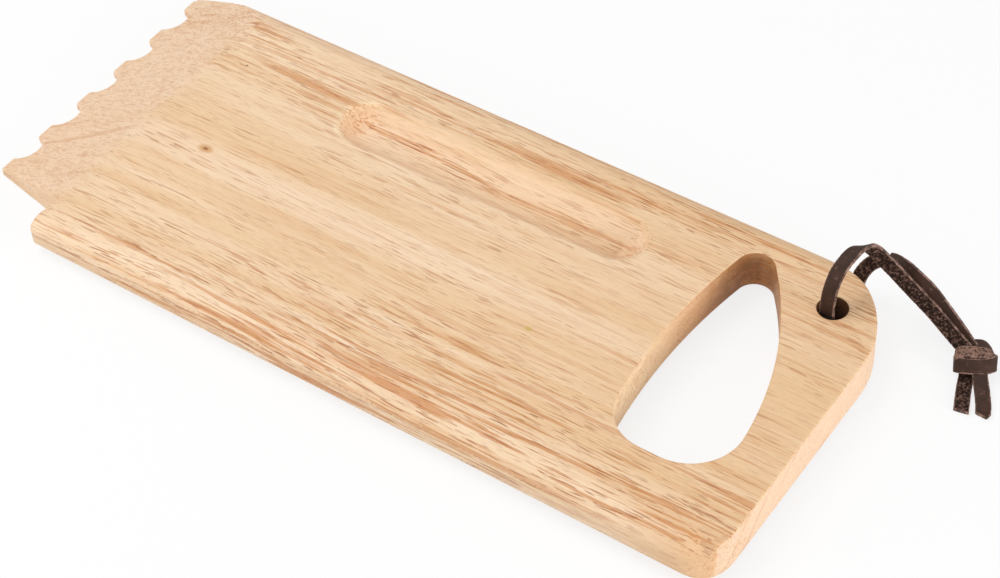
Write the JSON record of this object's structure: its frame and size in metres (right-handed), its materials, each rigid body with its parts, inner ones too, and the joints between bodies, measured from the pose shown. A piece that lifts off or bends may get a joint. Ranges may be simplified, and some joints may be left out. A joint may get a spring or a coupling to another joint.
{
  "type": "wooden grill scraper",
  "caption": "Flat hardwood grill scraper with a notched bevelled edge, a shaped hand hole, a finger groove and a leather hanging lace.",
  "frame": {"origin": "centre of the board's bounding box, without the lace", "axes": "+X along the grain to the handle end, +Y to the long edge with the finger groove, +Z out of the bevelled face"},
  "size_m": [0.3986, 0.1584, 0.0428],
  "materials": {
    "wood": "bare sanded hardwood, matte, with open pores along the grain",
    "leather": "dark brown, smooth on one side and rough on the other"
  },
  "bodies": {
    "root": {"board": "wood", "lace": "leather"}
  },
  "joints": []
}
